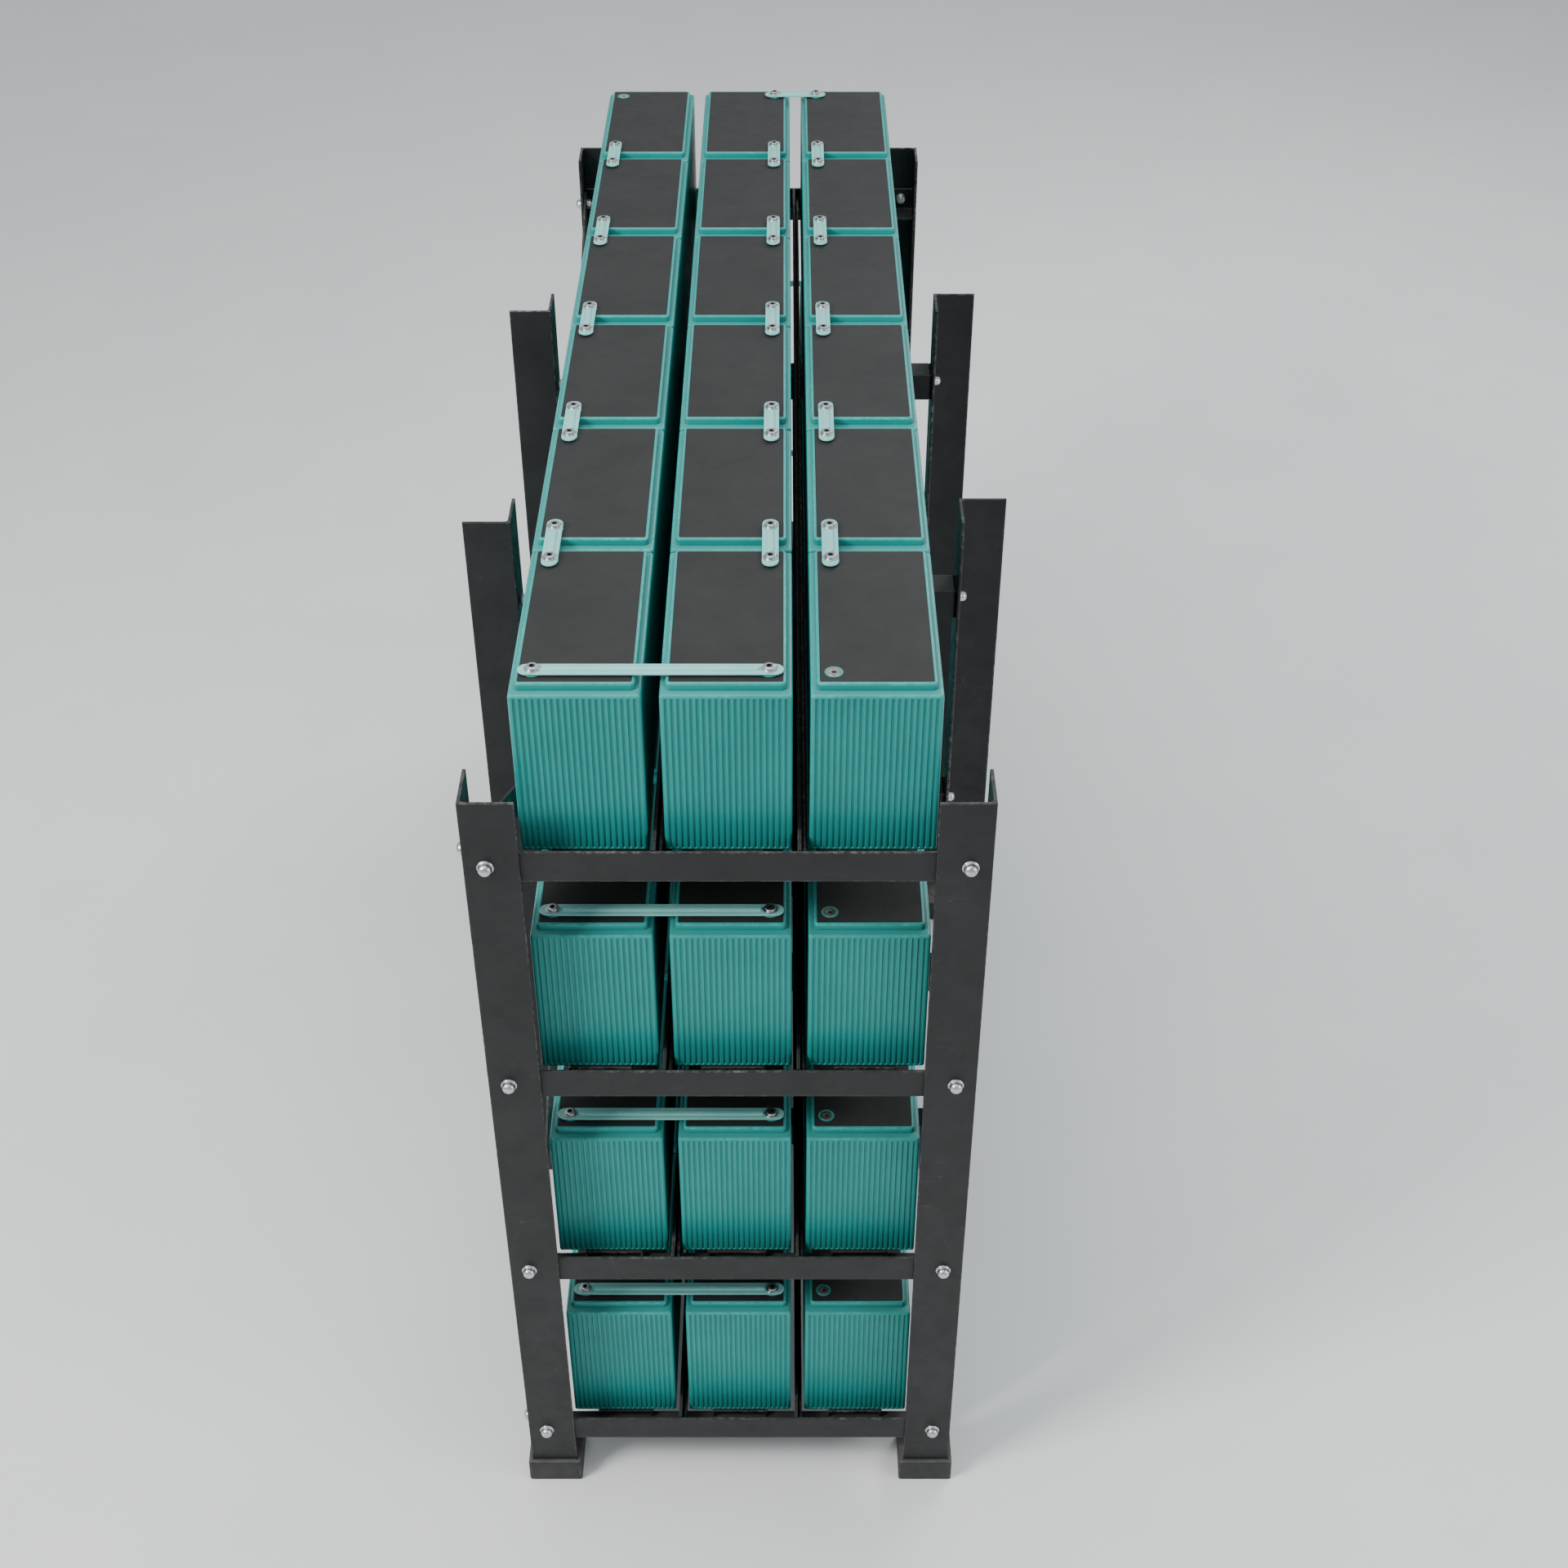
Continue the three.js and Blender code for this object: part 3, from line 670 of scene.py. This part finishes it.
# links that swing, by column and row: body and CAD node
LOOSE = {
    ("right", 0): ("front_link", "link_t4_front_end"),
    ("left", ROWS - 2): ("rear_link", "link_t4_rear_end"),
}
for tier in range(TIERS):
    z = lid_top(tier) + LINK_Z
    for name, cx, side in COLUMNS:
        x = cx + side * TERMINAL_X
        bars, bolts = Skin(), Skin()
        for row in range(ROWS - 1):
            ya, yb = terminal_rows(row)[1], terminal_rows(row + 1)[0]
            loose = LOOSE.get((name, row)) if tier == TOP else None
            a, b = (Skin(), Skin()) if loose else (bars, bolts)
            link_bar(a, x, ya, x, yb, z, LINK_END)
            for y in (ya, yb):
                link_bolt(b, x, y, z + LINK_THICK)
            if loose:
                a.piece(f"{loose[0]}_bar", [COAT], loose[0], "link_metal", (loose[1],))
                b.piece(f"{loose[0]}_bolts", [ZINC, PAINTED_SHADE], loose[0], "link_metal")
        bars.piece(f"links_t{tier + 1}_{name}", [COAT], "rack", "link_metal")
        bolts.piece(f"link_bolts_t{tier + 1}_{name}", [ZINC, PAINTED_SHADE], "rack", "link_metal")
    for end, pair in (("front", (0, 1)), ("rear", (1, 2))):
        y = terminal_rows(0)[0] if end == "front" else terminal_rows(ROWS - 1)[1]
        xa, xb = (COLUMNS[i][1] + COLUMNS[i][2] * TERMINAL_X for i in pair)
        a, b = Skin(), Skin()
        link_bar(a, xa, y, xb, y, z, STRAP_END)
        for x in (xa, xb):
            link_bolt(b, x, y, z + LINK_THICK)
        a.piece(f"cross_strap_t{tier + 1}_{end}", [COAT], "rack", "link_metal", (f"strap_t{tier + 1}_{end}",))
        b.piece(f"strap_bolts_t{tier + 1}_{end}", [ZINC, PAINTED_SHADE], "rack", "link_metal")


# ---------------------------------------------------------------- rack
def flange_bolt(skin, centre, axis, tall):
    """A domed bolt head on its flange."""
    k = tall / 10.0
    turned(
        skin, centre, axis,
        [(11.6, -0.3, 0.2), (11.75, 0.4 * k, 0.8), (11.75, 1.1 * k, 1.0), (11.2, 1.7 * k, 1.0), (9.9, 2.1 * k, 0.2),
         (9.5, 2.5 * k, 0.0), (9.5, 4.6 * k, 0.4), (9.1, 6.3 * k, 1.0), (8.0, 7.9 * k, 0.8), (6.2, 9.1 * k, 0.6),
         (3.9, 9.8 * k, 0.6), (1.4, 10.0 * k, 0.6)],
    )


def nut(skin, centre, axis, tall):
    """A washer, a hexagon nut and the end of the bolt."""
    washer = [(10.6, 0, 0.3), (10.9, 0.4, 1.0), (10.9, 1.2, 1.0), (10.5, 1.5, 0.6), (6.0, 1.5, 0.0)]
    turned(skin, centre, axis, washer, sides=24)
    turned(
        skin, centre, axis,
        [(8.6, 1.4, 0.2, "hex"), (8.7, 2.0, 0.8, "hex"), (8.7, tall - 1.9, 0.8, "hex"), (8.3, tall - 1.2, 1.0),
         (7.6, tall - 1.1, 0.6), (5.2, tall - 1.1, 0.0)],
        sides=24,
    )
    turned(skin, centre, axis, [(4.9, 1.0, 0), (4.9, tall - 0.5, 0.3), (4.3, tall, 1.0)], sides=20)


def notched_rail(skin, section, heel, end):
    """An end rail whose ledge stops short of its left end, beside a brace, where only the lip runs on."""
    bevel = 0.5
    small = shrunk(section, bevel)

    def lip(shape, deep):
        return [(heel - end * min((heel - u) * end, deep), v, w) for u, v, w in shape]

    rings = []
    for at, shape, wear in (
        (RAIL_LEFT, lip(small, STEEL - bevel), 1.0), (RAIL_LEFT + bevel, lip(section, STEEL), 1.0),
        (RAIL_NOTCH, lip(section, STEEL), 0.0), (RAIL_NOTCH, section, 1.0), (RAIL_NOTCH + END_WEAR, section, 0.0),
        (RAIL_RIGHT - bevel - END_WEAR, section, 0.0), (RAIL_RIGHT - bevel, section, 1.0), (RAIL_RIGHT, small, 1.0),
    ):
        rings.append(([(at, u, v) for u, v, w in shape], [max(w, wear) for u, v, w in shape]))
    skin.loft(rings)


def shoe(skin, x0, x1, y0, y1):
    """A moulded shoe with a drafted rim."""
    corners = [(x0, y0), (x1, y0), (x1, y1), (x0, y1)]
    outline = rounded(corners, [SHOE_CORNER] * 4, 4)
    # height, inset and wear
    levels = (
        (0.0, 1.6, 0.4), (1.2, 0.4, 0.8), (2.8, 0.0, 0.2), (43.5, 0.3, 0.0), (46.6, 0.7, 0.7), (47.6, 1.5, 1.0),
        (48.0, 2.8, 0.7), (48.0, 5.2, 0.0),
    )
    rings = []
    for z, inset, wear in levels:
        shape = shrunk(outline, inset) if inset else outline
        rings.append(([(u, v, z) for u, v, w in shape], [max(w * 0.8, wear) for u, v, w in shape]))
    skin.loft(rings)


for side_name, side in (("left", -1), ("right", 1)):
    for post_name, end in (("front", -1), ("second", 0), ("third", 0), ("rear", 1)):
        name = f"{side_name}_{post_name}"
        post, foot, bolts = Skin(), Skin(), Skin()
        if end:
            x, y = side * CORNER_X, end * HALF
            section = angle_outline(x, y, -side, -end, POST_LEG, POST_ROOT)
            xs, ys = sorted((x, x - side * POST_LEG)), sorted((y, y - end * POST_LEG))
            for tier in range(TIERS):
                flange_bolt(bolts, (side * BOLT_X, y, BOLT_Z + PITCH * tier), (0, end, 0), BOLT_TALL)
            for z in (BRACE_LOW, BRACE_HIGH) if side < 0 else ():
                flange_bolt(bolts, (x, end * BRACE_Y, z), (side, 0, 0), BOLT_TALL)
        else:
            x, y = side * MIDDLE_X, MIDDLE_POSTS[post_name] - HALF
            heel, along = (y, 1) if side < 0 else (y + POST_LEG, -1)
            section = angle_outline(x, heel, side, along, POST_LEG, POST_ROOT)
            xs, ys = sorted((x, x + side * POST_LEG)), (y, y + POST_LEG)
            for tier in range(TIERS):
                z = LEDGE - BEARER_BOLT_DROP[side] + PITCH * tier
                flange_bolt(bolts, (x + side * STEEL, y + BEARER_BOLT_POST, z), (side, 0, 0), BOLT_TALL)
        bar(post, "z", section, POST_BOTTOM, POST_TOP)
        shoe(foot, xs[0] - SHOE_RIM, xs[1] + SHOE_RIM, ys[0] - SHOE_RIM, ys[1] + SHOE_RIM)
        post.piece(f"upright_{name}", [PAINT], replaces=(f"post_{name}",))
        foot.piece(f"shoe_{name}", [SHOE])
        bolts.piece(f"post_bolts_{name}", [ZINC])

for tier in range(TIERS):
    up = PITCH * tier
    for end_name, end in (("front", -1), ("rear", 1)):
        rail, nuts = Skin(), Skin()
        heel = end * (HALF - STEEL - GAP)
        section = angle_outline(heel, RAIL_BOTTOM + up, -end, 1, RAIL_LEG, RAIL_ROOT)
        if tier in (0, TOP):
            notched_rail(rail, section, heel, end)
        else:
            bar(rail, "x", section, RAIL_LEFT, RAIL_RIGHT)
        for x in (-BOLT_X, BOLT_X):
            nut(nuts, (x, heel - end * STEEL, BOLT_Z + up), (0, -end, 0), NUT_TALL)
        rail.piece(f"end_rail_t{tier + 1}_{end_name}", [PAINT], replaces=(f"rail_t{tier + 1}_{end_name}",))
        nuts.piece(f"rail_nuts_t{tier + 1}_{end_name}", [ZINC])
    seat = LEDGE + GAP + up
    for k, (column, cx, _) in enumerate(COLUMNS):
        runner = Skin()
        a, b, top, t = cx - RUNNER_HALF, cx + RUNNER_HALF, seat + RUNNER_H, RUNNER_STEEL
        corners = [
            (a, seat), (a + t, seat), (a + t, top - t), (b - t, top - t),
            (b - t, seat), (b, seat), (b, top), (a, top),
        ]
        outline = rounded(corners, [0.6, 0.6, 1.2, 1.2, 0.6, 0.6, 3.0, 3.0])
        bar(runner, "y", outline, -HALF + RUNNER_SHORT, HALF - RUNNER_SHORT, 0.4)
        replaced = (f"tray_t{tier + 1}",) if k == 0 else ()
        runner.piece(f"runner_t{tier + 1}_{column}", [PAINT], replaces=replaced)
    for gap_name, middle in DIVIDERS:
        guide = Skin()
        # a foot, a low leg on the right and a tall one on the left
        corners = [
            (middle - 4.4, seat), (middle + 7.4, seat), (middle + 7.4, seat + 24), (middle + 3.1, seat + 24),
            (middle + 3.1, seat + 4), (middle + 0.6, seat + 4), (middle + 0.6, seat + 45), (middle - 4.4, seat + 45),
        ]
        outline = rounded(corners, [1.2, 1.2, 0.9, 0.9, 0.5, 0.5, 0.9, 0.9], 2, 1.2)
        bar(guide, "y", outline, -HALF + DIVIDER_SHORT, HALF - DIVIDER_SHORT, 0.3)
        guide.piece(f"divider_t{tier + 1}_{gap_name}", [PAINT])
    for bearer_name, setback in BEARERS.items():
        cross, nuts = Skin(), Skin()
        y = setback - HALF
        bar(cross, "x", angle_outline(y, seat, 1, -1, RAIL_LEG, RAIL_ROOT), BEARER_LEFT, BEARER_RIGHT)
        low = seat - RAIL_LEG
        plate = rounded([(y, low), (y + RAIL_LEG, low), (y + RAIL_LEG, seat), (y, seat)], [2.0] * 4)
        bar(cross, "x", plate, BEARER_RIGHT, PLATE_RIGHT)
        bar(cross, "x", plate, SPACER_LEFT, BEARER_LEFT - 0.1)
        for x, side, tall in ((SPACER_LEFT, -1, 11.5), (BEARER_RIGHT, 1, 9.0)):
            nut(nuts, (x, y + BEARER_BOLT_LEG, LEDGE - BEARER_BOLT_DROP[side] + up), (-1, 0, 0), tall)
        cross.piece(f"bearer_t{tier + 1}_{bearer_name}", [PAINT])
        nuts.piece(f"bearer_nuts_t{tier + 1}_{bearer_name}", [ZINC])

drop, brace_z = (BRACE_HIGH - BRACE_LOW) / 2, (BRACE_HIGH + BRACE_LOW) / 2
for name, layer, rising in (("brace_outer", 0, 1), ("brace_inner", 1, -1)):
    tilt = math.atan2(drop, BRACE_Y) * rising
    half = math.hypot(drop, BRACE_Y)
    outline = []
    for sign in (1, -1):
        for k in range(13):
            t = -math.pi / 2 + k * math.pi / 12
            u, v = sign * (half + math.cos(t) * BRACE_HALF), sign * math.sin(t) * BRACE_HALF
            y, z = u * math.cos(tilt) - v * math.sin(tilt), u * math.sin(tilt) + v * math.cos(tilt)
            outline.append((y, brace_z + z, 1.0))
    brace = Skin()
    outer = -CORNER_X + STEEL + GAP + layer * BRACE_LAYER
    rings = []
    # distance through the bar, inset and wear
    for x, by, wear in (
        (0.0, 3.5, 0.0), (0.0, 0.8, 0.6), (0.5, 0.0, 1.0), (BRACE_THICK - 0.5, 0.0, 1.0), (BRACE_THICK, 0.8, 0.6),
        (BRACE_THICK, 3.5, 0.0),
    ):
        shape = shrunk(outline, by) if by else outline
        rings.append(([(outer + x, u, v) for u, v, w in shape], wear))
    brace.loft(rings)
    brace.piece(f"{name}_bar", [PAINT], replaces=(name,))
    nuts = Skin()
    for end in (-1, 1):
        y, z = end * BRACE_Y, brace_z + end * rising * drop
        nut(nuts, (outer + BRACE_THICK, y, z), (1, 0, 0), NUT_TALL)
        if layer:
            packer = [(6.0, -0.3, 0.0), (8.2, -0.3, 0.0), (8.6, 0.2, 1.0), (8.6, 4.3, 1.0), (8.2, 4.8, 0.6)]
            turned(nuts, (outer, y, z), (-1, 0, 0), packer, sides=24)
    nuts.piece(f"{name}_nuts", [ZINC])

# ---------------------------------------------------------------- floor, light
FLOOR_HALF = 180.0  # metres
FLOOR_DARK, FLOOR_LIGHT = (0.76, 0.765, 0.765), (0.79, 0.795, 0.79)
SKY = (0.80, 0.84, 0.88, 1)
HORIZON, ZENITH, FALL_HEIGHT = 0.56, 0.70, 0.45  # strengths, and how high the fall starts

bm = bmesh.new()
bmesh.ops.create_grid(bm, x_segments=8, y_segments=8, size=FLOOR_HALF)
data = bpy.data.meshes.new("floor")
bm.to_mesh(data)
bm.free()
floor = bpy.data.objects.new("floor", data)
scene.collection.objects.link(floor)
floor.location = (0, 0, -0.0005)
n = Nodes("pale_floor")
cloud = n.ramp(n.noise(n.place(), 3.0, 3.0), 0.3, 0.7)
n.link(n.mix(cloud, FLOOR_DARK, FLOOR_LIGHT), n.bsdf.inputs["Base Color"])
n.bsdf.inputs["Roughness"].default_value = 0.7
data.materials.append(n.mat)
floor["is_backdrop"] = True

world = bpy.data.worlds.new("studio")
scene.world = world
world.use_nodes = True
tree = world.node_tree
background = tree.nodes["Background"]
background.inputs["Color"].default_value = SKY
# The studio's light falls off towards the horizon, where it meets the floor.
where = tree.nodes.new("ShaderNodeTexCoord")
split = tree.nodes.new("ShaderNodeSeparateXYZ")
fall = tree.nodes.new("ShaderNodeMapRange")
fall.interpolation_type = "SMOOTHSTEP"
for name, value in (("From Min", 0.0), ("From Max", FALL_HEIGHT), ("To Min", HORIZON), ("To Max", ZENITH)):
    fall.inputs[name].default_value = value
tree.links.new(where.outputs["Generated"], split.inputs[0])
tree.links.new(split.outputs["Z"], fall.inputs["Value"])
tree.links.new(fall.outputs[0], background.inputs["Strength"])


def soft_light(name, place, aim, size, power, colour=(1, 1, 1)):
    """A rectangular lamp at place, pointed at aim."""
    lamp = bpy.data.lights.new(name, "AREA")
    lamp.shape = "RECTANGLE"
    lamp.size, lamp.size_y = size
    lamp.energy = power
    lamp.color = colour
    made = bpy.data.objects.new(name, lamp)
    scene.collection.objects.link(made)
    made.location = place
    made.rotation_euler = (Vector(aim) - Vector(place)).to_track_quat("-Z", "Y").to_euler()


soft_light("key", (-3.4, -2.9, 4.2), (0, -0.5, 0.8), (1.5, 1.5), 260, (1.0, 0.98, 0.95))
soft_light("fill", (3.6, -2.4, 2.4), (0, -0.3, 0.7), (2.4, 2.4), 60, (0.94, 0.97, 1.0))
soft_light("back", (3.0, 3.4, 4.0), (0, 0.6, 1.0), (2.4, 1.6), 110)
soft_light("top", (-0.4, -0.6, 5.2), (0, 0.0, 1.0), (3.0, 3.0), 90)

low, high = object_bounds()
